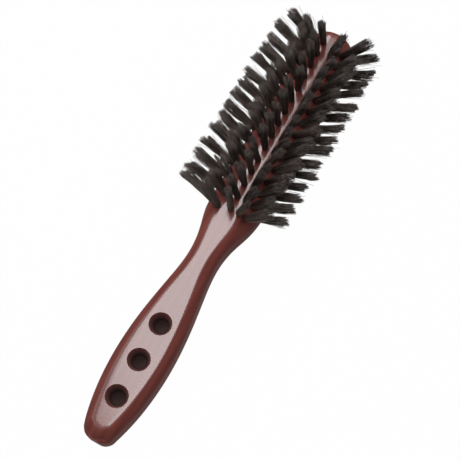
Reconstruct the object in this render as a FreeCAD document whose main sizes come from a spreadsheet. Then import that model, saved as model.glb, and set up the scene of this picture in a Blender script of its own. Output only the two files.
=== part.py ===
import FreeCAD, Part
import math
import os

import Sketcher

# Half-round beard brush, millimetres.  It lies on its flat back with the
# bristles up: +Z is up, +Y runs from the handle to the head, +X is to the
# right.  The origin is on the back face, in the middle of the length.

doc = FreeCAD.newDocument("beard_brush")


# ---------------------------------------------------------------- sizes

SIZES = [
    ("brush_length", 221.2, "wood from the handle's end to the head's end"),
    ("thickness", 16.0, "flat back to the flat face of handle and crown"),
    ("handle_end_station", 0.0, "the handle's very end, from which every station is counted"),
    ("handle_end_flat", 1.0, "half width of the flat face at the handle's very end"),
    ("butt_station", 10.8, "from the handle's end to the full end of the grip"),
    ("butt_half", 9.1, "half width there"),
    ("palm_station", 24.8, "from the handle's end to the rear of the palm swell"),
    ("palm_half", 11.6, "half width there"),
    ("swell_station", 41.8, "from the handle's end to the widest place of the grip"),
    ("swell_half", 12.5, "half width there"),
    ("taper_station", 59.3, "from the handle's end to the front of the swell"),
    ("taper_half", 11.4, "half width there"),
    ("waist_station", 77.3, "from the handle's end to where the neck begins"),
    ("waist_half", 8.8, "half width there"),
    ("neck_station", 92.8, "from the handle's end to the narrowest place"),
    ("neck_half", 7.1, "half width there"),
    ("flare_station", 105.3, "from the handle's end to the start of the flare"),
    ("flare_half", 8.7, "half width there"),
    ("shoulder_station", 114.8, "from the handle's end to the middle of the shoulder"),
    ("shoulder_drop", 1.4, "how much less than the head's the half width is there"),
    ("crest_station", 122.8, "from the handle's end to the top of the shoulder"),
    ("crest_drop", 0.2, "how much less than the head's the half width is there"),
    ("head_station", 131.3, "from the handle's end to the straight part of the head"),
    ("head_half", 13.0, "half width of the head"),
    ("handle_round", 5.0, "round along the top edges of handle and neck"),
    ("flare_round", 5.4, "the same round where the flare starts"),
    ("shoulder_sharper", 3.6, "how much less than the crown's the same round is at the shoulder"),
    ("crest_sharper", 1.1, "how much less than the crown's it is at the top of the shoulder"),
    ("crown_flat", 1.5, "half width of the flat along the head's crown"),
    ("side_land", 0.5, "upright strip between the back's round and the head's half-round"),
    ("end_sharper", 0.2, "how much less than the edges' rounds the round of both ends is"),
    ("head_bow", 20.0, "plan radius of the bowed end of the head"),
    ("trim_margin", 4.0, "how far a trimming cut reaches past the wood"),
    ("recess_station", 20.5, "from the handle's end to the first thumb recess"),
    ("recess_pitch", 18.3, "between the centres of the recesses"),
    ("recess_count", 3, "how many recesses the grip has"),
    ("recess_mouth", 5.4, "radius of a recess at the flat face"),
    ("recess_core", 3.1, "radius of the core bored below the dished mouth"),
    ("dish_depth", 2.8, "depth of the dished mouth"),
    ("recess_depth", 7.0, "depth of the whole recess"),
    ("core_point", 1.8, "height of the pointed bottom that the drill leaves"),
    ("tuft_station", 120.3, "from the handle's end to the first bores of inner and outer rows"),
    ("tuft_pitch", 6.55, "between the bores of one row"),
    ("tuft_margin", 9.0, "least distance from a bore to the head's end"),
    ("inner_row_angle", 8.0, "lean of the inner rows from upright, degrees"),
    ("middle_row_angle", 34.0, "lean of the middle rows from upright, degrees"),
    ("outer_row_angle", 57.0, "lean of the outer rows from upright, degrees"),
    ("first_fan", 4.0, "lean of the first tufts towards the head's end, degrees"),
    ("last_fan", 17.0, "the same lean of the last middle and outer tufts"),
    ("last_inner_fan", 8.0, "the same lean of the last inner tufts"),
    ("bore_radius", 1.6, "radius of a tuft's bore"),
    ("bore_depth", 6.0, "depth of a tuft's bore along its axis"),
    ("bristle_length", 19.5, "bristles outside the wood"),
    ("tuft_tip_radius", 1.95, "radius of a tuft at its tips"),
    ("tuft_clearance", 0.05, "between a tuft's root and its bore"),
    ("bore_floor", 0.1, "between a tuft's folded end and the bottom of its bore"),
    ("anchor_height", 1.5, "height of a flat wire anchor along the bore"),
    ("anchor_wire", 0.4, "thickness of the anchor's flat wire"),
    ("anchor_clearance", 0.1, "between the anchor's ends and the bore"),
    ("fold_height", 0.7, "bristles folded under the anchor"),
    ("slot_clearance", 0.03, "between the anchor and the folded bristles"),
]

DERIVED = [
    ("crown_round", "=head_half - crown_flat", "radius of the half-round head"),
    ("back_round", "=thickness - crown_round - side_land", "round along the edges of the back"),
    ("end_round", "=min(back_round; handle_round) - end_sharper", "round around both ends"),
    ("handle_end_half", "=handle_round + handle_end_flat", "half width at the handle's very end"),
    ("shoulder_half", "=head_half - shoulder_drop", "half width in the middle of the shoulder"),
    ("crest_half", "=head_half - crest_drop", "half width at the top of the shoulder"),
    ("shoulder_round", "=crown_round - shoulder_sharper", "top round in the middle of the shoulder"),
    ("crest_round", "=crown_round - crest_sharper", "top round at the top of the shoulder"),
]

sheet = doc.addObject("Spreadsheet::Sheet", "Sizes")
for number, (alias, value, note) in enumerate(SIZES + DERIVED, start=1):
    sheet.set(f"A{number}", alias)
    sheet.set(f"B{number}", str(value))
    sheet.set(f"C{number}", note)
    sheet.setAlias(f"B{number}", alias)
doc.recompute()


def size(alias):
    """A driving dimension as a plain number."""
    return float(getattr(sheet, alias))


# ---------------------------------------------------------------- helpers

def plane(body, role):
    """One of the body's own origin planes or axes, found by its role."""
    return next(item for item in body.Origin.OriginFeatures if item.Role == role)


def new_sketch(body, name, role, offset=None):
    """A sketch on an origin plane, moved along the plane's normal by an expression."""
    sketch = body.newObject("Sketcher::SketchObject", name)
    sketch.AttachmentSupport = [(plane(body, role), "")]
    sketch.MapMode = "FlatFace"
    if offset:
        sketch.setExpression("AttachmentOffset.Base.z", offset)
    return sketch


def dimension(sketch, name, expression, *constraint):
    """A named driving constraint bound to the sheet."""
    index = sketch.addConstraint(Sketcher.Constraint(*constraint))
    sketch.renameConstraint(index, name)
    sketch.setExpression(f"Constraints.{name}", expression)


def point(x, y):
    return FreeCAD.Vector(x, y, 0)


def line(start, end):
    return Part.LineSegment(point(*start), point(*end))


def arc(center, radius, start_degrees, end_degrees):
    circle = Part.Circle(point(*center), FreeCAD.Vector(0, 0, 1), radius)
    return Part.ArcOfCircle(circle, math.radians(start_degrees), math.radians(end_degrees))


def close_loop(sketch, count):
    """Join each of the first count edges to the next, end to start."""
    for edge in range(count):
        sketch.addConstraint(Sketcher.Constraint("Coincident", edge, 2, (edge + 1) % count, 1))


# ---------------------------------------------------------------- wooden stock

def rib(body, name, station, half, top_round):
    """Cross-section of the stock: flat back and top, upright sides, round edges."""
    sketch = new_sketch(body, name, "XZ_Plane", f"Sizes.brush_length / 2 - Sizes.{station}")
    w, r, b, t = size(half), size(top_round), size("back_round"), size("thickness")
    sketch.addGeometry([
        line((b - w, 0), (w - b, 0)),
        arc((w - b, b), b, -90, 0),
        line((w, b), (w, t - r)),
        arc((w - r, t - r), r, 0, 90),
        line((w - r, t), (r - w, t)),
        arc((r - w, t - r), r, 90, 180),
        line((-w, t - r), (-w, b)),
        arc((b - w, b), b, 180, 270),
    ], False)
    for edge in range(8):
        sketch.addConstraint(Sketcher.Constraint("Tangent", edge, 2, (edge + 1) % 8, 1))
    for rule in (
        ("Vertical", 2),
        ("Horizontal", 4),
        ("Vertical", 6),
        ("Symmetric", 0, 1, 0, 2, -2),
        ("PointOnObject", 0, 1, -1),
        ("Equal", 1, 7),
        ("Equal", 3, 5),
    ):
        sketch.addConstraint(Sketcher.Constraint(*rule))
    dimension(sketch, "width", f"2 * Sizes.{half}", "DistanceX", 6, 2, 2, 1, 2 * w)
    dimension(sketch, "height", "Sizes.thickness", "DistanceY", 0, 2, 4, 1, t)
    dimension(sketch, "back_edge", "Sizes.back_round", "Radius", 1, b)
    dimension(sketch, "top_edge", f"Sizes.{top_round}", "Radius", 3, r)
    return sketch


stock = doc.addObject("PartDesign::Body", "stock")

RIBS = [
    ("rib_handle_end", "handle_end_station", "handle_end_half", "handle_round"),
    ("rib_butt", "butt_station", "butt_half", "handle_round"),
    ("rib_palm", "palm_station", "palm_half", "handle_round"),
    ("rib_swell", "swell_station", "swell_half", "handle_round"),
    ("rib_taper", "taper_station", "taper_half", "handle_round"),
    ("rib_waist", "waist_station", "waist_half", "handle_round"),
    ("rib_neck", "neck_station", "neck_half", "handle_round"),
    ("rib_flare", "flare_station", "flare_half", "flare_round"),
    ("rib_shoulder", "shoulder_station", "shoulder_half", "shoulder_round"),
    ("rib_crest", "crest_station", "crest_half", "crest_round"),
    ("rib_head", "head_station", "head_half", "crown_round"),
]
ribs = [rib(stock, *row) for row in RIBS]
doc.recompute()

neck = stock.newObject("PartDesign::AdditiveLoft", "handle_and_neck")
neck.Profile = ribs[0]
neck.Sections = ribs[1:]
doc.recompute()

head = stock.newObject("PartDesign::Pad", "head")
head.Profile = ribs[-1]
head.Reversed = True
head.setExpression("Length", "Sizes.brush_length - Sizes.head_station")
doc.recompute()


def bow(body):
    """Trim the head's square end to an arc in plan."""
    sketch = new_sketch(body, "bow_profile", "XY_Plane")
    end, radius, half = size("brush_length") / 2, size("head_bow"), size("head_half")
    reach = half + size("trim_margin")
    start = math.degrees(math.acos(reach / radius))
    low = end - radius + radius * math.sin(math.radians(start))
    far = end + size("trim_margin")
    sketch.addGeometry([
        arc((0, end - radius), radius, start, 180 - start),
        line((-reach, low), (-reach, far)),
        line((-reach, far), (reach, far)),
        line((reach, far), (reach, low)),
    ], False)
    close_loop(sketch, 4)
    for rule in (
        ("PointOnObject", 0, 3, -2),
        ("Vertical", 1),
        ("Vertical", 3),
        ("Symmetric", 1, 2, 2, 2, -2),
    ):
        sketch.addConstraint(Sketcher.Constraint(*rule))
    dimension(sketch, "bow", "Sizes.head_bow", "Radius", 0, radius)
    dimension(sketch, "centre", "Sizes.brush_length / 2 - Sizes.head_bow", "DistanceY", -1, 1, 0, 3,
              end - radius)
    dimension(sketch, "width", "2 * (Sizes.head_half + Sizes.trim_margin)", "DistanceX",
              2, 1, 2, 2, 2 * reach)
    dimension(sketch, "front", "Sizes.brush_length / 2 + Sizes.trim_margin", "DistanceY", -1, 1, 2, 1, far)
    pocket = body.newObject("PartDesign::Pocket", "head_bow")
    pocket.Profile = sketch
    pocket.Type = "ThroughAll"
    pocket.SideType = "Symmetric"
    return pocket


bowed = bow(stock)
doc.recompute()


def edges_where(shape, test):
    """Names of the edges whose bounding box passes the test."""
    return [f"Edge{number}" for number, edge in enumerate(shape.Edges, start=1) if test(edge.BoundBox)]


NEAR = 0.001


def at_either_end(box):
    sagitta = size("head_bow") - math.sqrt(size("head_bow") ** 2 - size("head_half") ** 2)
    at_handle = box.YMax < NEAR - size("brush_length") / 2
    return at_handle or box.YMin > size("brush_length") / 2 - sagitta - NEAR


rounded = stock.newObject("PartDesign::Fillet", "round_ends")
rounded.Base = (bowed, edges_where(bowed.Shape, at_either_end))
rounded.setExpression("Radius", "Sizes.end_round")
doc.recompute()


# ---------------------------------------------------------------- thumb recesses

def recess_profile(body):
    """Half section of a recess: a dished mouth and a drilled core with a pointed bottom."""
    sketch = new_sketch(body, "recess_profile", "XZ_Plane",
                        "Sizes.brush_length / 2 - Sizes.recess_station")
    top, mouth, core = size("thickness"), size("recess_mouth"), size("recess_core")
    dish, deep, tip = size("dish_depth"), size("recess_depth"), size("core_point")
    sketch.addGeometry([
        line((0, top), (mouth, top)),
        line((mouth, top), (core, top - dish)),
        line((core, top - dish), (core, top - deep + tip)),
        line((core, top - deep + tip), (0, top - deep)),
        line((0, top - deep), (0, top)),
    ], False)
    close_loop(sketch, 5)
    for rule in (
        ("Horizontal", 0),
        ("Vertical", 2),
        ("PointOnObject", 4, 1, -2),
        ("PointOnObject", 4, 2, -2),
    ):
        sketch.addConstraint(Sketcher.Constraint(*rule))
    dimension(sketch, "face", "Sizes.thickness", "DistanceY", -1, 1, 4, 2, top)
    dimension(sketch, "mouth", "Sizes.recess_mouth", "DistanceX", 0, 1, 0, 2, mouth)
    dimension(sketch, "core", "Sizes.recess_core", "DistanceX", -1, 1, 1, 2, core)
    dimension(sketch, "dish", "Sizes.dish_depth", "DistanceY", 1, 2, 0, 2, dish)
    dimension(sketch, "depth", "Sizes.recess_depth", "DistanceY", 4, 1, 4, 2, deep)
    dimension(sketch, "drill_point", "Sizes.core_point", "DistanceY", 4, 1, 2, 2, tip)
    return sketch


recess = stock.newObject("PartDesign::Groove", "thumb_recess")
recess.Profile = recess_profile(stock)
recess.ReferenceAxis = (recess.Profile[0], ["V_Axis"])
recess.Angle = 360
doc.recompute()
recesses = stock.newObject("PartDesign::LinearPattern", "thumb_recesses")
recesses.Originals = [recess]
recesses.Direction = (plane(stock, "Y_Axis"), [""])
recesses.setExpression("Occurrences", "Sizes.recess_count")
recesses.setExpression("Length", "(Sizes.recess_count - 1) * Sizes.recess_pitch")
stock.Tip = recesses
doc.recompute()
core_volume = math.pi * size("recess_core") ** 2 * (size("recess_depth") - size("core_point"))
if rounded.Shape.Volume - stock.Shape.Volume < size("recess_count") * core_volume:
    raise RuntimeError("the thumb recesses did not cut")


# ---------------------------------------------------------------- rows of bores

ROWS = [
    ("left_inner", -1, "inner_row_angle", "last_inner_fan", 0.0),
    ("left_middle", -1, "middle_row_angle", "last_fan", 0.5),
    ("left_outer", -1, "outer_row_angle", "last_fan", 0.0),
    ("right_inner", 1, "inner_row_angle", "last_inner_fan", 0.0),
    ("right_middle", 1, "middle_row_angle", "last_fan", 0.5),
    ("right_outer", 1, "outer_row_angle", "last_fan", 0.0),
]

LAST_STATION = size("brush_length") - size("tuft_margin")
BORES = math.floor((LAST_STATION - size("tuft_station")) / size("tuft_pitch")) + 1


def row_placement(side, angle, pitches_back):
    """Where a row starts on the half-round crown, with its local Z square to the wood."""
    lean = math.radians(size(angle))
    round_height = size("thickness") - size("crown_round")
    start = FreeCAD.Vector(
        side * (size("crown_flat") + size("crown_round") * math.sin(lean)),
        size("tuft_station") - pitches_back * size("tuft_pitch") - size("brush_length") / 2,
        round_height + size("crown_round") * math.cos(lean),
    )
    return FreeCAD.Placement(start, FreeCAD.Rotation(FreeCAD.Vector(0, 1, 0), side * size(angle)))


def seat(number, last_fan):
    """Placement of one bore in its row: along local Y, fanned more and more to the head's end."""
    fan = size("first_fan") + (size(last_fan) - size("first_fan")) * number / (BORES - 1)
    return FreeCAD.Placement(FreeCAD.Vector(0, number * size("tuft_pitch"), 0),
                             FreeCAD.Rotation(FreeCAD.Vector(-1, 0, 0), fan))


def row_of(name, shape, side, angle, last_fan, pitches_back):
    """A row node: one copy of the shape in each seat, then the row is laid on the crown."""
    copies = [shape.transformed(seat(number, last_fan).toMatrix(), True) for number in range(BORES)]
    row = doc.addObject("Part::Feature", name)
    row.Shape = Part.makeCompound(copies)
    row.Placement = row_placement(side, angle, pitches_back)
    return row


drill = doc.addObject("Part::Cylinder", "drill")
drill.setExpression("Radius", "Sizes.bore_radius")
drill.setExpression("Height", "Sizes.bore_depth + Sizes.trim_margin")
drill.setExpression("Placement.Base.z", "-Sizes.bore_depth")
doc.recompute()

bores = doc.addObject("Part::MultiFuse", "bores")
bores.Shapes = [row_of(f"bores_{name}", drill.Shape, *place) for name, *place in ROWS]
wood = doc.addObject("Part::Cut", "wooden_body")
wood.Base = stock
wood.Tool = bores
doc.recompute()
if stock.Shape.Volume - wood.Shape.Volume < len(ROWS) * BORES * drill.Shape.Volume / 2:
    raise RuntimeError("the bores did not cut")


# ---------------------------------------------------------------- tuft and anchor

TUFT_SIDES = 6


def tuft_section(body, name, height, expression, radius):
    """Even polygon across the tuft, its corners on a circle of the given radius."""
    sketch = new_sketch(body, name, "XY_Plane", height)
    turns = [2 * math.pi * k / TUFT_SIDES for k in range(TUFT_SIDES + 1)]
    corners = [(radius * math.sin(turn), radius * math.cos(turn)) for turn in turns]
    sketch.addGeometry([line(*pair) for pair in zip(corners, corners[1:])], False)
    circle = sketch.addGeometry(Part.Circle(point(0, 0), FreeCAD.Vector(0, 0, 1), radius), True)
    close_loop(sketch, TUFT_SIDES)
    for edge in range(TUFT_SIDES):
        sketch.addConstraint(Sketcher.Constraint("PointOnObject", edge, 1, circle))
    for edge in range(TUFT_SIDES - 1):
        sketch.addConstraint(Sketcher.Constraint("Equal", edge, edge + 1))
    sketch.addConstraint(Sketcher.Constraint("Coincident", circle, 3, -1, 1))
    sketch.addConstraint(Sketcher.Constraint("PointOnObject", 0, 1, -2))
    dimension(sketch, "corner", expression, "Radius", circle, radius)
    return sketch


tuft = doc.addObject("PartDesign::Body", "tuft")
ROOT_RADIUS = ("Sizes.bore_radius - Sizes.tuft_clearance", size("bore_radius") - size("tuft_clearance"))
TIP_RADIUS = ("Sizes.tuft_tip_radius", size("tuft_tip_radius"))
sections = [
    tuft_section(tuft, "folded_root", "Sizes.bore_floor - Sizes.bore_depth", *ROOT_RADIUS),
    tuft_section(tuft, "mouth", "0", *ROOT_RADIUS),
    tuft_section(tuft, "tips", "Sizes.bristle_length", *TIP_RADIUS),
]
doc.recompute()

bundle = tuft.newObject("PartDesign::AdditiveLoft", "bundle")
bundle.Profile = sections[0]
bundle.Sections = sections[1:]
bundle.Ruled = True
doc.recompute()


def anchor_slot(body):
    """Slot across the folded end of the bundle, with a hair's clearance around the anchor."""
    sketch = new_sketch(body, "slot_profile", "XZ_Plane")
    gap = size("slot_clearance")
    low = size("bore_floor") + size("fold_height") - size("bore_depth") - gap
    high, half = low + size("anchor_height") + 2 * gap, size("anchor_wire") / 2 + gap
    sketch.addGeometry([
        line((-half, low), (half, low)),
        line((half, low), (half, high)),
        line((half, high), (-half, high)),
        line((-half, high), (-half, low)),
    ], False)
    close_loop(sketch, 4)
    for rule in (("Horizontal", 0), ("Vertical", 1), ("Vertical", 3)):
        sketch.addConstraint(Sketcher.Constraint(*rule))
    sketch.addConstraint(Sketcher.Constraint("Symmetric", 2, 2, 2, 1, -2))
    dimension(sketch, "slot_width", "Sizes.anchor_wire + 2 * Sizes.slot_clearance",
              "DistanceX", 0, 1, 0, 2, 2 * half)
    dimension(sketch, "slot_height", "Sizes.anchor_height + 2 * Sizes.slot_clearance",
              "DistanceY", 1, 1, 1, 2, high - low)
    dimension(sketch, "slot_base", "Sizes.bore_depth - Sizes.bore_floor - Sizes.fold_height"
              " + Sizes.slot_clearance", "DistanceY", 0, 1, -1, 1, -low)
    slot = body.newObject("PartDesign::Pocket", "anchor_slot")
    slot.Profile = sketch
    slot.Type = "ThroughAll"
    slot.SideType = "Symmetric"
    return slot


slot = anchor_slot(tuft)
doc.recompute()
if bundle.Shape.Volume - tuft.Shape.Volume < size("anchor_wire") * size("anchor_height"):
    raise RuntimeError("the anchor slot did not cut")

anchor = doc.addObject("Part::Box", "anchor")
anchor.setExpression("Length", "Sizes.anchor_wire")
anchor.setExpression("Width", "2 * Sizes.bore_radius - 2 * Sizes.anchor_clearance")
anchor.setExpression("Height", "Sizes.anchor_height")
anchor.setExpression("Placement.Base.x", "-Sizes.anchor_wire / 2")
anchor.setExpression("Placement.Base.y", "Sizes.anchor_clearance - Sizes.bore_radius")
anchor.setExpression("Placement.Base.z", "Sizes.bore_floor + Sizes.fold_height - Sizes.bore_depth")
doc.recompute()

nodes = [wood]
for name, *place in ROWS:
    nodes.append(row_of(f"tufts_{name}", tuft.Shape, *place))
    nodes.append(row_of(f"anchors_{name}", anchor.Shape, *place))
doc.recompute()


# ---------------------------------------------------------------- checks and files

for item in doc.Objects:
    if {"Invalid", "Error"} & set(item.State):
        raise RuntimeError(f"{item.Label}: {item.State}")

os.makedirs("parts", exist_ok=True)
for node in nodes:
    if node.Shape.isNull() or not node.Shape.isValid():
        raise RuntimeError(f"{node.Label}: bad shape")
    node.Shape.exportStep(f"parts/{node.Label}.step")
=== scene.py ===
import math

import bpy
import numpy as np
from mathutils import Matrix, Vector


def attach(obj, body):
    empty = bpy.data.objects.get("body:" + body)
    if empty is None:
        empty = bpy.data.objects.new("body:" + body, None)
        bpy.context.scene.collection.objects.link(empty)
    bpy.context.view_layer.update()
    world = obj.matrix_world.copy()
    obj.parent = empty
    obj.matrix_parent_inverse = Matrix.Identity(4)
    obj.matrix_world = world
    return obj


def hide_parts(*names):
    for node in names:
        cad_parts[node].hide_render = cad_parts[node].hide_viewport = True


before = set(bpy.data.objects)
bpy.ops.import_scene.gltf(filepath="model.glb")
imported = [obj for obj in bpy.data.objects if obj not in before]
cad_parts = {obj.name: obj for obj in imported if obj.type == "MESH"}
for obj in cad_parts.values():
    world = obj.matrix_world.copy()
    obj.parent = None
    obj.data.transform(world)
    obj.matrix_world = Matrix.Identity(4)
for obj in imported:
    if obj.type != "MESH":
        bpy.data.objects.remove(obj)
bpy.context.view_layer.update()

# ------------------------------------------------------------------ wooden body
# One piece of close-grained hardwood, spindle-shaped and sanded: flat back, flat thumb face
# along the handle, half-round head. Three dished recesses are bored into the thumb face.
# It is stained red-brown and finished with clear gloss lacquer.

# sizes are in millimetres, and MM turns them into metres
MM = 0.001
BRUSH_LENGTH = 221.2
THICKNESS = 16.0
MIDDLE = THICKNESS / 2
BACK_ROUND = 4.0
LEAST_ROUND = 0.15
END_ROUND = 3.8

# the head's end is an arc; the wood bends to it between these distances from the end
HEAD_BOW = 20.0
BOW_START = 34.0
BOW_FULL = 4.0

# the head is half round, with a narrow flat along the crown
HEAD_HALF = 13.0
CROWN_FLAT = 1.5
CROWN_ROUND = HEAD_HALF - CROWN_FLAT

# the top's own round over the handle's end, and the bow in which the flat face stops there
HANDLE_END_ROUND = 6.2
HANDLE_END_BOW = 1.8
HANDLE_END_SIDE = 2.7
HANDLE_END_SHARE = 0.9

# station from the handle's end, half width, round of the top edges
RIBS = np.array([
    (0.0, 6.0, 5.0),
    (10.8, 9.1, 5.0),
    (24.8, 11.6, 5.0),
    (41.8, 12.5, 5.0),
    (59.3, 11.4, 5.0),
    (77.3, 8.8, 5.0),
    (92.8, 7.1, 5.0),
    (105.3, 8.7, 5.4),
    (114.8, 11.6, 7.9),
    (122.8, 12.8, 10.4),
    (131.3, 13.0, 11.5),
])

RECESSES = 3
RECESS_STATION = 20.5
RECESS_PITCH = 18.3
RECESS_MOUTH = 5.2
RECESS_POINT = 7.0
CUTTER_TOP = 1.5

# radius and depth: flared rim, dished mouth, then a core that tapers to its point
RECESS_PROFILE = np.array([
    (RECESS_MOUTH + 0.06, -CUTTER_TOP),
    (RECESS_MOUTH + 0.06, -0.02),
    (RECESS_MOUTH, 0.06),
    (RECESS_MOUTH - 0.08, 0.20),
    (RECESS_MOUTH - 0.24, 0.50),
    (RECESS_MOUTH - 0.46, 0.95),
    (4.50, 1.60),
    (4.22, 2.20),
    (3.92, 2.75),
    (3.64, 3.30),
    (3.40, 3.85),
    (3.20, 4.40),
    (2.98, 4.90),
    (2.60, 5.35),
    (1.40, 5.95),
])

# the top is polished to this depth below the flat, fading out over the last part of it
POLISH_DEPTH = 0.25
POLISH_FADE = 0.15

# how finely the skin is divided
ROUND_STEPS = 14
FLAT_STEPS = 8
SIDE_STEPS = 4
LENGTH_RINGS = 260
CAP_RINGS = 6
RECESS_SIDES = 96
SHARP_EDGE = math.radians(38)


def spline(knots, values, at):
    """Cubic spline through the knots, free at the first and level at the last.

    The second derivatives m solve, at each inner knot,
    h0 m0 + 2 (h0 + h1) m1 + h1 m2 = 6 (slope1 - slope0).
    """
    h, slope = np.diff(knots), np.diff(values) / np.diff(knots)
    n = len(knots)
    a, b = np.eye(n), np.zeros(n)
    for k in range(1, n - 1):
        a[k, k - 1:k + 2] = h[k - 1], 2 * (h[k - 1] + h[k]), h[k]
        b[k] = 6 * (slope[k] - slope[k - 1])
    a[-1, -2:] = h[-1], 2 * h[-1]
    b[-1] = -6 * slope[-1]
    m = np.linalg.solve(a, b)
    at = np.clip(at, knots[0], knots[-1])
    k = np.clip(np.searchsorted(knots, at) - 1, 0, n - 2)
    u, v = knots[k + 1] - at, at - knots[k]
    return (m[k] * u ** 3 + m[k + 1] * v ** 3) / (6 * h[k]) + (
        (values[k] / h[k] - m[k] * h[k] / 6) * u + (values[k + 1] / h[k] - m[k + 1] * h[k] / 6) * v)


def section(half, top_round, inset):
    """Closed outline (x, z) of the stock, shrunk by inset all round, for each row of the inputs.

    Straight stretches are evenly divided; each round is centre + radius (cos, sin).
    """
    w, top, low = half - inset, THICKNESS - inset, inset
    r, b = top_round - inset, np.maximum(BACK_ROUND - inset, LEAST_ROUND) + 0 * half
    turn = np.linspace(0, math.pi / 2, ROUND_STEPS + 1)[:-1]
    parts = []

    def straight(x0, z0, x1, z1, steps):
        k = np.arange(steps) / steps
        parts.append((x0[:, None] + (x1 - x0)[:, None] * k, z0[:, None] + (z1 - z0)[:, None] * k))

    def quarter(x, z, radius, start):
        angle = start + turn
        across, up = radius[:, None] * np.cos(angle), radius[:, None] * np.sin(angle)
        parts.append((x[:, None] + across, z[:, None] + up))

    zero = 0 * half
    straight(b - w, low + zero, w - b, low + zero, FLAT_STEPS)
    quarter(w - b, low + b, b, -math.pi / 2)
    straight(w, low + b, w, top - r, SIDE_STEPS)
    quarter(w - r, top - r, r, 0.0)
    straight(w - r, top + zero, r - w, top + zero, FLAT_STEPS)
    quarter(r - w, top - r, r, math.pi / 2)
    straight(-w, top - r, -w, low + b, SIDE_STEPS)
    quarter(b - w, low + b, b, math.pi)
    return np.hstack([p[0] for p in parts]), np.hstack([p[1] for p in parts])


def end_drop(at, x):
    """How far the top falls over the handle's end: a round of HANDLE_END_ROUND.

    It starts at HANDLE_END_ROUND from the end in the middle and HANDLE_END_BOW further at the
    sides, by 1 - exp(-|x / HANDLE_END_SIDE|^3), so the flat face finishes in a bow. It stops at
    HANDLE_END_SHARE of the round, where the end's own round takes over.
    """
    bow = HANDLE_END_BOW * (1 - np.exp(-np.abs(x / HANDLE_END_SIDE) ** 3))
    over = np.clip(HANDLE_END_ROUND + bow - at[:, None], 0, HANDLE_END_SHARE * HANDLE_END_ROUND)
    return HANDLE_END_ROUND - np.sqrt(HANDLE_END_ROUND ** 2 - over ** 2)


def head_arc(x):
    """How far the head's end stands back at x: HEAD_BOW - sqrt(HEAD_BOW^2 - x^2)."""
    return HEAD_BOW - np.sqrt(HEAD_BOW ** 2 - x ** 2)


def stock_rings():
    """Rings of points from the handle's end to the head's: (rows, columns, 3) in millimetres.

    A ring at depth d within END_ROUND of an end is shrunk by the amount that a quarter round
    takes off there. Towards the head's end the rings bend to its arc, and over the handle's end
    their upper half is squashed under the top's round. Smaller and smaller copies of the first
    and the last ring close the ends.
    """
    turn = np.linspace(0, math.pi / 2, ROUND_STEPS + 1)
    depth, shrink = END_ROUND * (1 - np.cos(turn)), END_ROUND * (1 - np.sin(turn))
    between = np.linspace(END_ROUND, BRUSH_LENGTH - END_ROUND, LENGTH_RINGS)[1:-1]
    at = np.concatenate([depth, between, BRUSH_LENGTH - depth[::-1]])
    inset = np.concatenate([shrink, 0 * between, shrink[::-1]])
    half = spline(RIBS[:, 0], RIBS[:, 1], at)
    top_round = spline(RIBS[:, 0], RIBS[:, 2], at)
    x, z = section(half, top_round, inset)
    top = THICKNESS - inset[:, None]
    squash = (np.minimum(top, THICKNESS - end_drop(at, x)) - MIDDLE) / (top - MIDDLE)
    z = np.where(z > MIDDLE, MIDDLE + (z - MIDDLE) * squash, z)
    y = np.repeat((at - BRUSH_LENGTH / 2)[:, None], x.shape[1], axis=1)
    bend = np.clip((at - (BRUSH_LENGTH - BOW_START)) / (BOW_START - BOW_FULL), 0, 1)
    bend = bend * bend * (3 - 2 * bend)
    y = y - bend[:, None] * head_arc(x)
    rings = np.stack([x, y, z], axis=-1)
    share = np.linspace(0, 1, CAP_RINGS + 2)[1:-1, None]
    caps = []
    for ring, end, bow in ((rings[0], -BRUSH_LENGTH / 2, 0), (rings[-1], BRUSH_LENGTH / 2, 1)):
        cap_x, cap_z = ring[:, 0] * share, MIDDLE + (ring[:, 2] - MIDDLE) * share
        caps.append(np.stack([cap_x, end - bow * head_arc(cap_x), cap_z], axis=-1))
    return np.concatenate([caps[0], rings, caps[1][::-1]])


def closed_skin(rings, first_pole, last_pole):
    """Vertices and faces of a tube of rings closed by a pole at each end."""
    rows, columns, _ = rings.shape
    points = np.vstack([rings.reshape(-1, 3), first_pole, last_pole])
    i, j = np.meshgrid(np.arange(rows - 1), np.arange(columns), indexing="ij")
    here, right = i * columns + j, i * columns + (j + 1) % columns
    quads = np.stack([here, right, right + columns, here + columns], axis=-1).reshape(-1, 4)
    j = np.arange(columns)
    next_j = (j + 1) % columns
    start = np.stack([np.full(columns, rows * columns), next_j, j], axis=-1)
    base = (rows - 1) * columns
    end = np.stack([np.full(columns, rows * columns + 1), base + j, base + next_j], axis=-1)
    return points, quads.tolist() + start.tolist() + end.tolist()


def new_object(name, points, faces):
    """An object at the origin with these points, given in millimetres."""
    mesh = bpy.data.meshes.new(name)
    mesh.from_pydata((np.asarray(points) * MM).tolist(), [], faces)
    mesh.validate()
    obj = bpy.data.objects.new(name, mesh)
    bpy.context.scene.collection.objects.link(obj)
    return obj


def recess_cutter(number):
    """A turned solid with the recess's profile, which stands out above the wood."""
    turn = np.linspace(0, 2 * math.pi, RECESS_SIDES + 1)[:-1]
    centre_y = RECESS_STATION + number * RECESS_PITCH - BRUSH_LENGTH / 2
    r, z = RECESS_PROFILE[:, :1], THICKNESS - RECESS_PROFILE[:, 1:]
    rings = np.stack([r * np.cos(turn), centre_y + r * np.sin(turn), z + 0 * turn], axis=-1)
    low, high = (0, centre_y, THICKNESS - RECESS_POINT), (0, centre_y, THICKNESS + CUTTER_TOP)
    points, faces = closed_skin(rings[::-1], low, high)
    return new_object(f"cutter_{number}", points, faces)


handle_pole, head_pole = (0, -BRUSH_LENGTH / 2, MIDDLE), (0, BRUSH_LENGTH / 2, MIDDLE)
points, faces = closed_skin(stock_rings(), handle_pole, head_pole)
body = new_object("lacquered_body", points, faces)

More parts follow.
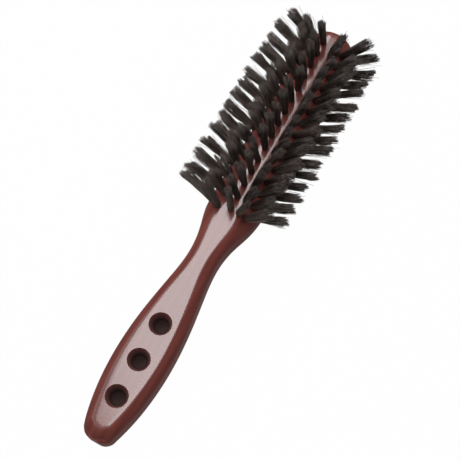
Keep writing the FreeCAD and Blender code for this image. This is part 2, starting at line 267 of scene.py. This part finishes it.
cutters = [recess_cutter(number) for number in range(RECESSES)]
for cutter in cutters:
    cut = body.modifiers.new(cutter.name, "BOOLEAN")
    cut.operation, cut.solver, cut.object = "DIFFERENCE", "EXACT", cutter
bored = bpy.data.meshes.new_from_object(body.evaluated_get(bpy.context.evaluated_depsgraph_get()))
body.modifiers.clear()
body.data = bored
for cutter in cutters:
    bpy.data.objects.remove(cutter)

spots = np.empty(3 * len(bored.vertices))
bored.vertices.foreach_get("co", spots)
spots = spots.reshape(-1, 3) / MM
centres = RECESS_STATION + np.arange(RECESSES) * RECESS_PITCH - BRUSH_LENGTH / 2
nearest = np.hypot(spots[:, :1], spots[:, 1:2] - centres).min(axis=1)
inside = (nearest < RECESS_MOUTH + 0.3) & (spots[:, 2] > THICKNESS - RECESS_POINT - 0.5)
depth = np.where(inside, THICKNESS - spots[:, 2], 0.0)
bored.attributes.new("recess_depth", "FLOAT", "POINT").data.foreach_set("value", depth)
polish = np.clip((spots[:, 2] - THICKNESS + POLISH_DEPTH) / POLISH_FADE, 0, 1)
bored.attributes.new("polish", "FLOAT", "POINT").data.foreach_set("value", polish)
bored.shade_smooth()
bored.set_sharp_from_angle(angle=SHARP_EDGE)


class Nodes:
    """Short ways to place and join shader nodes in one tree."""

    def __init__(self, tree):
        self.tree = tree

    def add(self, kind, **settings):
        node = self.tree.nodes.new(kind)
        for key, value in settings.items():
            setattr(node, key, value)
        return node

    def feed(self, socket, value):
        if isinstance(value, bpy.types.NodeSocket):
            self.tree.links.new(value, socket)
        else:
            socket.default_value = value

    def math(self, operation, *values, clamp=False):
        node = self.add("ShaderNodeMath", operation=operation, use_clamp=clamp)
        for socket, value in zip(node.inputs, values):
            self.feed(socket, value)
        return node.outputs[0]

    def mix(self, share, first, second):
        node = self.add("ShaderNodeMix", data_type="RGBA")
        for key, value in ((0, share), (6, first), (7, second)):
            self.feed(node.inputs[key], value)
        return node.outputs[2]

    def noise(self, vector, scale, detail=3.0, roughness=0.55):
        node = self.add("ShaderNodeTexNoise")
        settings = {"Vector": vector, "Scale": scale, "Detail": detail, "Roughness": roughness}
        for key, value in settings.items():
            self.feed(node.inputs[key], value)
        return node.outputs["Fac"]

    def mapped(self, vector, scale):
        node = self.add("ShaderNodeMapping")
        self.feed(node.inputs["Vector"], vector)
        node.inputs["Scale"].default_value = scale
        return node.outputs[0]

    def ramp(self, value, low, high):
        """0 at low, 1 at high, smooth between."""
        node = self.add("ShaderNodeMapRange", interpolation_type="SMOOTHSTEP")
        for key, number in (("Value", value), ("From Min", low), ("From Max", high)):
            self.feed(node.inputs[key], number)
        return node.outputs[0]


def node_group(name, inputs, outputs):
    """An empty shader group with named sockets, and its helper and its two end nodes."""
    tree = bpy.data.node_groups.new(name, "ShaderNodeTree")
    for label, kind, value in inputs:
        socket = tree.interface.new_socket(label, in_out="INPUT", socket_type=kind)
        if value is not None:
            socket.default_value = value
    for label, kind in outputs:
        tree.interface.new_socket(label, in_out="OUTPUT", socket_type=kind)
    nodes = Nodes(tree)
    return tree, nodes, nodes.add("NodeGroupInput"), nodes.add("NodeGroupOutput")


def grain_group():
    """Hardwood figure along Y: slow growth bands, fine fibre streaks and short open pores."""
    tree, n, given, result = node_group(
        "wood_figure",
        [("Vector", "NodeSocketVector", None), ("Band", "NodeSocketFloat", 0.5)],
        [(label, "NodeSocketFloat") for label in ("Figure", "Pores", "Height")],
    )
    vector = given.outputs["Vector"]
    drift = n.noise(n.mapped(vector, (55, 9, 55)), 1.0, 2.0)
    bands = n.add("ShaderNodeTexWave", wave_type="BANDS", bands_direction="X", wave_profile="SIN")
    n.feed(bands.inputs["Vector"], n.mapped(vector, (60, 7, 45)))
    for key, value in (("Scale", 1.3), ("Distortion", 5.5), ("Detail", 2.0), ("Detail Scale", 0.7)):
        bands.inputs[key].default_value = value
    fibres = n.noise(n.mapped(vector, (1500, 28, 1500)), 1.0, 4.0, 0.6)
    banded = n.math("MULTIPLY", bands.outputs["Fac"], given.outputs["Band"])
    mottled = n.math("MULTIPLY", drift, n.math("SUBTRACT", 1.0, given.outputs["Band"]))
    figure = n.math("ADD", banded, mottled)
    figure = n.math("ADD", n.math("MULTIPLY", figure, 0.7), n.math("MULTIPLY", fibres, 0.3))
    pores = n.ramp(n.noise(n.mapped(vector, (2100, 110, 2100)), 1.0, 2.0, 0.5), 0.60, 0.74)
    n.feed(result.inputs["Figure"], figure)
    n.feed(result.inputs["Pores"], pores)
    n.feed(result.inputs["Height"], n.math("SUBTRACT", fibres, pores))
    return tree


WOOD_FIGURE = grain_group()


def lacquered_wood():
    """Red-brown stain, darker in the pores and with painted shade down the recesses, under clear
    lacquer.

    The lacquer is polished on the flat face and along the crown, thin on the sides and missing
    in the recesses, where the dull wood of the wall is painted lighter and greyer as a painted sheen.
    """
    stain_dark, stain_light = (0.126, 0.030, 0.025, 1), (0.180, 0.045, 0.034, 1)
    # core is painted shade for the depth of the recesses
    pore, wall_and_sheen, core = (0.070, 0.017, 0.014, 1), (0.170, 0.066, 0.060, 1), (0.046, 0.028, 0.026, 1)
    thin_lacquer = 0.12
    material = bpy.data.materials.new("lacquered_wood")
    material.use_nodes = True
    n = Nodes(material.node_tree)
    shader = material.node_tree.nodes["Principled BSDF"]
    place = n.add("ShaderNodeTexCoord").outputs["Object"]
    figure = n.add("ShaderNodeGroup", node_tree=WOOD_FIGURE)
    n.feed(figure.inputs["Vector"], place)
    figure.inputs["Band"].default_value = 0.25
    colour = n.mix(n.ramp(figure.outputs["Figure"], 0.25, 0.75), stain_dark, stain_light)
    colour = n.mix(n.math("MULTIPLY", figure.outputs["Pores"], 0.30), colour, pore)
    depth = n.add("ShaderNodeAttribute", attribute_name="recess_depth").outputs["Fac"]
    bored = n.ramp(depth, 0.0, 0.5)
    # painted sheen: the recess wall is lighter and greyer than the stain
    colour = n.mix(bored, colour, wall_and_sheen)
    # painted shade: darker down the recess towards its core
    colour = n.mix(n.ramp(depth, 0.2, 4.2), colour, core)
    n.feed(shader.inputs["Base Color"], colour)
    n.feed(shader.inputs["Roughness"], n.math("ADD", 0.36, n.math("MULTIPLY", bored, 0.4)))
    polish = n.add("ShaderNodeAttribute", attribute_name="polish").outputs["Fac"]
    coat = n.math("ADD", thin_lacquer, n.math("MULTIPLY", polish, 1 - thin_lacquer))
    n.feed(shader.inputs["Coat Weight"], n.math("MULTIPLY", coat, n.math("SUBTRACT", 1.0, bored)))
    shader.inputs["Coat Roughness"].default_value = 0.14
    shader.inputs["Coat IOR"].default_value = 1.56
    shader.inputs["Specular IOR Level"].default_value = 0.0
    bump = n.add("ShaderNodeBump")
    bump.inputs["Strength"].default_value = 0.10
    bump.inputs["Distance"].default_value = 0.0002
    n.feed(bump.inputs["Height"], figure.outputs["Height"])
    n.feed(shader.inputs["Normal"], bump.outputs["Normal"])
    return material


body.data.materials.clear()
body.data.materials.append(lacquered_wood())
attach(body, "root")
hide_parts("wooden_body")

# ------------------------------------------------------------------ wire anchors
# A short piece of flat steel wire lies across the fold of each tuft, deep in its bore, and holds
# the bristles there. The wood hides them all.


def drawn_wire():
    """Bare flat wire with faint drawing lines along Y."""
    material = bpy.data.materials.new("anchor_wire")
    material.use_nodes = True
    n = Nodes(material.node_tree)
    shader = material.node_tree.nodes["Principled BSDF"]
    place = n.add("ShaderNodeTexCoord").outputs["Object"]
    lines = n.noise(n.mapped(place, (6000, 300, 6000)), 1.0)
    n.feed(shader.inputs["Base Color"], n.mix(lines, (0.48, 0.47, 0.45, 1), (0.66, 0.65, 0.62, 1)))
    n.feed(shader.inputs["Roughness"], n.math("ADD", 0.22, n.math("MULTIPLY", lines, 0.2)))
    shader.inputs["Metallic"].default_value = 1.0
    return material


wire = drawn_wire()
for name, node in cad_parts.items():
    if name.startswith("anchors_"):
        for slot in node.material_slots:
            slot.material = wire

# ------------------------------------------------------------------ bristle tufts
# Six rows of stiff dark bristle over the half-round head. Each tuft is a bundle folded in two and
# pressed into a blind bore; the rows lean to the head's end and spread towards their tips.

TUFTS = 15
TUFT_RADIUS = 1.5
WEDGES = 7
BRISTLES = 240
BRISTLE_LENGTH = 19.5
BRISTLE_RADIUS = (0.080, 0.120)
BRISTLE_TAPER = 0.30
BRISTLE_RINGS = 5
BRISTLE_SIDES = 3
ROOT_DEPTH = 0.05

# how unlike the bristles are: shares of the length, or millimetres sideways
SHORTER_HALF = 0.12
SHORTER_WEDGE = 0.11
SHORTER_BRISTLE = 0.09
OVERLONG = 0.02
LONGEST = BRISTLE_LENGTH + 0.3
TUFT_LEAN = 0.042
WEDGE_TIP = 0.30
BRISTLE_TIP = 0.24
WEDGE_WAVE = 0.22
BRISTLE_WAVE = 0.16
STRAYS = 0.10
STRAY_TIP = 1.1

# Each pair is for the row's first tuft and its last. over: distance from the crown's middle over
# the wood; inset: how far further in the very last one stands; station: from the handle's end;
# fan: lean to the head's end, degrees; lean: to the right of square to the wood, degrees;
# spread: how much wider a tuft is at its tips than at its roots
TUFT_ROWS = {
    "left_inner": dict(over=(0.3, -3.1), inset=0.0, station=(118.6, 212.6), fan=(5, 2),
                       lean=(-9, 4), spread=1.1, seed=11),
    "left_middle": dict(over=(-5.6, -5.8), inset=0.0, station=(117.2, 210.8), fan=(5, 4),
                        lean=(0, 0), spread=1.5, seed=12),
    "left_outer": dict(over=(-12.9, -12.9), inset=2.6, station=(120.2, 214.2), fan=(3, 6),
                       lean=(0, 0), spread=1.5, seed=13),
    "right_inner": dict(over=(4.3, 3.8), inset=0.0, station=(118.6, 212.4), fan=(4, 0),
                        lean=(1, 5), spread=1.2, seed=21),
    "right_middle": dict(over=(8.2, 8.2), inset=0.0, station=(118.2, 211.0), fan=(8, 9),
                         lean=(4, 4), spread=1.8, seed=22),
    "right_outer": dict(over=(12.9, 12.9), inset=1.2, station=(121.2, 210.6), fan=(6, 7),
                        lean=(0, 0), spread=1.3, seed=23),
}


def on_crown(over, lean, across, height):
    """Points of a tuft, given across the row and out of the wood, set on the crown.

    The tuft stands at a distance over from the crown's middle: on the flat for CROWN_FLAT, then
    round the half-round head, where the wood's own slope is (over - CROWN_FLAT) / CROWN_ROUND.
    It is square to the wood but for its lean.
    """
    slope = np.sign(over) * np.maximum(np.abs(over) - CROWN_FLAT, 0) / CROWN_ROUND
    base_x = np.clip(over, -CROWN_FLAT, CROWN_FLAT) + CROWN_ROUND * np.sin(slope)
    base_z = THICKNESS - CROWN_ROUND + CROWN_ROUND * np.cos(slope)
    tilt = slope + lean
    return (base_x + across * np.cos(tilt) + height * np.sin(tilt),
            base_z + height * np.cos(tilt) - across * np.sin(tilt))


def bristle_row(name, over, inset, station, fan, lean, spread, seed):
    """One row of tufts as tapered three-sided bristles.

    A bristle's centre line runs from a point of the tuft's disc to the same point spread
    outwards by the spread, plus a bow of its own and a wave w sin(pi t), with t from 0 at the
    wood to 1 at the tip. Ring k turns a triangle of the bristle's radius about that line. The
    bristles of a tuft cling together in WEDGES, and one half of the fold is shorter.
    """
    rng = np.random.default_rng(seed)
    count = TUFTS * BRISTLES
    tuft = np.repeat(np.arange(TUFTS), BRISTLES)
    radius, turn = TUFT_RADIUS * np.sqrt(rng.random(count)), rng.random(count)
    around = 2 * math.pi * turn
    root = radius[:, None] * np.stack([np.cos(around), np.sin(around)], axis=-1)
    wedge = tuft * WEDGES + np.floor(turn * WEDGES).astype(int)
    wedges = TUFTS * WEDGES
    wedge_tip = rng.normal(0, WEDGE_TIP, (wedges, 2))[wedge]
    wedge_length = 1 - SHORTER_WEDGE * rng.random(wedges)[wedge] ** 1.5
    short_half = (turn < 0.5) == (rng.random(TUFTS) < 0.5)[tuft]
    fold = np.where(short_half, rng.uniform(0.0, SHORTER_HALF, TUFTS)[tuft], 0)
    tuft_tip = rng.normal(0, TUFT_LEAN, (TUFTS, 2))[tuft] * BRISTLE_LENGTH
    stray = (rng.random(count) < STRAYS)[:, None] * rng.normal(0, STRAY_TIP, (count, 2))
    own_tip = rng.normal(0, BRISTLE_TIP, (count, 2))
    tip = root * spread + tuft_tip + wedge_tip + own_tip + stray
    wave = rng.normal(0, WEDGE_WAVE, (wedges, 2))[wedge] + rng.normal(0, BRISTLE_WAVE, (count, 2))
    own_length = 1 - SHORTER_BRISTLE * rng.random(count) ** 1.5
    length = BRISTLE_LENGTH * wedge_length * (1 + OVERLONG - fold) * own_length
    length = np.minimum(length, LONGEST)

    t = np.linspace(-ROOT_DEPTH, 1, BRISTLE_RINGS)
    along = t[None, :, None]
    line = root[:, None] + (tip - root)[:, None] * along
    line = line + wave[:, None] * np.sin(math.pi * along)
    height = length[:, None] * t
    centre = np.concatenate([line, height[..., None]], axis=-1)

    thick = rng.uniform(*BRISTLE_RADIUS, count)[:, None] * (1 - BRISTLE_TAPER * np.clip(t, 0, 1) ** 2)
    start = rng.random(count) * 2 * math.pi
    corner = start[:, None] + np.arange(BRISTLE_SIDES) * 2 * math.pi / BRISTLE_SIDES
    ring = np.stack([np.cos(corner), np.sin(corner), 0 * corner], axis=-1)
    points = centre[:, :, None] + thick[:, :, None, None] * ring[:, None]

    fan = np.radians(np.linspace(*fan, TUFTS))
    cos, sin = np.cos(fan)[tuft][:, None, None], np.sin(fan)[tuft][:, None, None]
    x, y, z = points[..., 0], points[..., 1], points[..., 2]
    y, z = y * cos + z * sin, z * cos - y * sin
    y = y + np.linspace(*station, TUFTS)[tuft][:, None, None] - BRUSH_LENGTH / 2
    over = np.linspace(*over, TUFTS)
    over[-1] -= np.sign(over[-1]) * inset
    lean = np.radians(np.linspace(*lean, TUFTS))
    x, z = on_crown(over[tuft][:, None, None], lean[tuft][:, None, None], x, z)
    points = np.stack([x, y, z], axis=-1).reshape(-1, 3)

    ring, edge = np.meshgrid(np.arange(BRISTLE_RINGS - 1), np.arange(BRISTLE_SIDES), indexing="ij")
    here = ring * BRISTLE_SIDES + edge
    right = ring * BRISTLE_SIDES + (edge + 1) % BRISTLE_SIDES
    quads = [here, right, right + BRISTLE_SIDES, here + BRISTLE_SIDES]
    quads = np.stack(quads, axis=-1).reshape(-1, 4)
    per_bristle = BRISTLE_RINGS * BRISTLE_SIDES
    shift = (np.arange(count) * per_bristle)[:, None, None]
    last = per_bristle - BRISTLE_SIDES
    ends = np.array([[2, 1, 0], [last, last + 1, last + 2]])
    sides, caps = (quads[None] + shift).reshape(-1, 4), (ends[None] + shift).reshape(-1, 3)
    obj = new_object(name, points, sides.tolist() + caps.tolist())
    mesh = obj.data
    tone = 0.42 * rng.random(count) + 0.58 * rng.random(wedges)[wedge]
    tone = np.repeat(tone, per_bristle)
    mesh.attributes.new("tone", "FLOAT", "POINT").data.foreach_set("value", tone)
    reach = np.tile(np.repeat(np.clip(t, 0, 1), BRISTLE_SIDES), count)
    mesh.attributes.new("reach", "FLOAT", "POINT").data.foreach_set("value", reach)
    mesh.shade_smooth()
    return obj


def dark_bristle():
    """Near-black hog bristle: most dark, some brown, a few pale ones that also stand in for highlight
    streaks, with painted light lifting the roots and painted shade on the tips.
    """
    black, dark = (0.044, 0.033, 0.029, 1), (0.125, 0.094, 0.083, 1)
    grey, brown, pale = (0.100, 0.102, 0.082, 1), (0.205, 0.152, 0.132, 1), (0.34, 0.30, 0.27, 1)
    # painted light for the shaded roots, painted shade for the lit tips
    root_painted_light, tip_painted_shade = (0.170, 0.118, 0.101, 1), (0.048, 0.036, 0.033, 1)
    material = bpy.data.materials.new("bristle")
    material.use_nodes = True
    n = Nodes(material.node_tree)
    shader = material.node_tree.nodes["Principled BSDF"]
    tone = n.add("ShaderNodeAttribute", attribute_name="tone").outputs["Fac"]
    reach = n.add("ShaderNodeAttribute", attribute_name="reach").outputs["Fac"]
    colour = n.mix(n.ramp(tone, 0.05, 0.55), black, dark)
    colour = n.mix(n.ramp(tone, 0.50, 0.60), colour, grey)
    colour = n.mix(n.ramp(tone, 0.62, 0.76), colour, brown)
    # pale bristles: partly real pale hairs, partly painted highlight streaks in the tufts
    colour = n.mix(n.ramp(tone, 0.86, 0.92), colour, pale)
    # painted light: the roots, which lie in shade, are lifted towards a lighter brown
    roots = n.math("MULTIPLY", n.math("SUBTRACT", 1.0, n.ramp(reach, 0.0, 0.8)), 0.60)
    colour = n.mix(roots, colour, root_painted_light)
    # painted shade: the tips are darkened
    tips = n.math("MULTIPLY", n.ramp(reach, 0.6, 1.0), 0.60)
    n.feed(shader.inputs["Base Color"], n.mix(tips, colour, tip_painted_shade))
    n.feed(shader.inputs["Roughness"], n.math("ADD", 0.38, n.math("MULTIPLY", tone, 0.2)))
    shader.inputs["Specular IOR Level"].default_value = 0.35
    return material


bristle = dark_bristle()
for name, row in TUFT_ROWS.items():
    tufts = bristle_row(f"bristles_{name}", **row)
    tufts.data.materials.append(bristle)
    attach(tufts, "root")
    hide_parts(f"tufts_{name}")

# ------------------------------------------------------------------ stage
# A pale studio board under the brush, which keeps its soft shadow, and a white surround. A long
# softbox overhead shows as the sheen on the flat face, and a weak one fills from the left.

FLOOR_HALF = 4000.0
FLOOR_GAP = 0.1
FLOOR_WHITE = 0.985


def seen_directly(n):
    """1 for the camera and for what metal, lacquer and glass show; 0 for the light on the object."""
    path = n.add("ShaderNodeLightPath")
    seen = n.math("ADD", path.outputs["Is Camera Ray"], path.outputs["Is Glossy Ray"])
    return n.math("ADD", seen, path.outputs["Is Transmission Ray"], clamp=True)


def pale_floor():
    """Pale board, shown brighter than it lights, so that it runs into the white surround."""
    material = bpy.data.materials.new("pale_floor")
    material.use_nodes = True
    n = Nodes(material.node_tree)
    shader = material.node_tree.nodes["Principled BSDF"]
    shader.inputs["Base Color"].default_value = (0.62, 0.62, 0.62, 1)
    shader.inputs["Roughness"].default_value = 0.9
    shader.inputs["Specular IOR Level"].default_value = 0.1
    glow = n.add("ShaderNodeEmission")
    glow.inputs["Color"].default_value = (1, 1, 1, 1)
    blend = n.add("ShaderNodeMixShader")
    n.feed(blend.inputs[0], n.math("MULTIPLY", seen_directly(n), FLOOR_WHITE))
    n.feed(blend.inputs[1], shader.outputs[0])
    n.feed(blend.inputs[2], glow.outputs[0])
    n.feed(material.node_tree.nodes["Material Output"].inputs["Surface"], blend.outputs[0])
    return material


corners = FLOOR_HALF * np.array([(-1, -1, 0), (1, -1, 0), (1, 1, 0), (-1, 1, 0)])
floor = new_object("floor", corners - (0, 0, FLOOR_GAP), [(0, 1, 2, 3)])
floor.data.materials.append(pale_floor())

world = bpy.data.worlds.new("surround")
bpy.context.scene.world = world
world.use_nodes = True
n = Nodes(world.node_tree)
world.node_tree.nodes.clear()
room, white = n.add("ShaderNodeBackground"), n.add("ShaderNodeBackground")
room.inputs["Color"].default_value = (0.30, 0.30, 0.305, 1)
white.inputs["Color"].default_value = (1, 1, 1, 1)
blend, out = n.add("ShaderNodeMixShader"), n.add("ShaderNodeOutputWorld")
n.feed(blend.inputs[0], seen_directly(n))
n.feed(blend.inputs[1], room.outputs[0])
n.feed(blend.inputs[2], white.outputs[0])
n.feed(out.inputs["Surface"], blend.outputs[0])


def softbox(name, place, aim, width, length, radiance):
    """A rectangular area lamp that shows the given radiance; watts = radiance x area x pi."""
    lamp = bpy.data.lights.new(name, "AREA")
    lamp.shape, lamp.size, lamp.size_y = "RECTANGLE", width, length
    lamp.energy = radiance * width * length * math.pi
    obj = bpy.data.objects.new(name, lamp)
    obj.location = place
    obj.rotation_euler = (Vector(aim) - Vector(place)).to_track_quat("-Z", "Y").to_euler()
    bpy.context.scene.collection.objects.link(obj)


softbox("overhead_softbox", (-0.24, 0.28, 1.0), (-0.05, 0.1, 0), 0.42, 0.95, 6.9)
softbox("left_softbox", (-1.0, -0.1, 0.8), (0, 0, 0), 0.9, 1.2, 0.9)

# ------------------------------------------------------------------ camera
# A short telephoto looks down on the brush from the handle's side and a little from the right.
# It is rolled, so that the brush lies across the picture with its head up to the right.

AIM = Vector((4.96, -1.0, 15.8)) * MM
DISTANCE = 0.540
FOCAL = 94.4
SENSOR = 36.0
PITCH, YAW, ROLL = math.radians(16.0), math.radians(12.9), math.radians(31.07)

back = Vector((math.cos(PITCH) * math.sin(YAW), -math.sin(PITCH), math.cos(PITCH) * math.cos(YAW)))
brush_axis = (Vector((0, 1, 0)) - back * back.y).normalized()
across = brush_axis.cross(back)
right = brush_axis * math.sin(ROLL) + across * math.cos(ROLL)
up = brush_axis * math.cos(ROLL) - across * math.sin(ROLL)
lens = bpy.data.cameras.new("camera")
lens.lens, lens.sensor_width = FOCAL, SENSOR
camera = bpy.data.objects.new("camera", lens)
facing = Matrix((right, up, back)).transposed().to_4x4()
camera.matrix_world = Matrix.Translation(AIM + back * DISTANCE) @ facing
bpy.context.scene.collection.objects.link(camera)
bpy.context.scene.camera = camera
bpy.context.scene.view_settings.view_transform = "Standard"
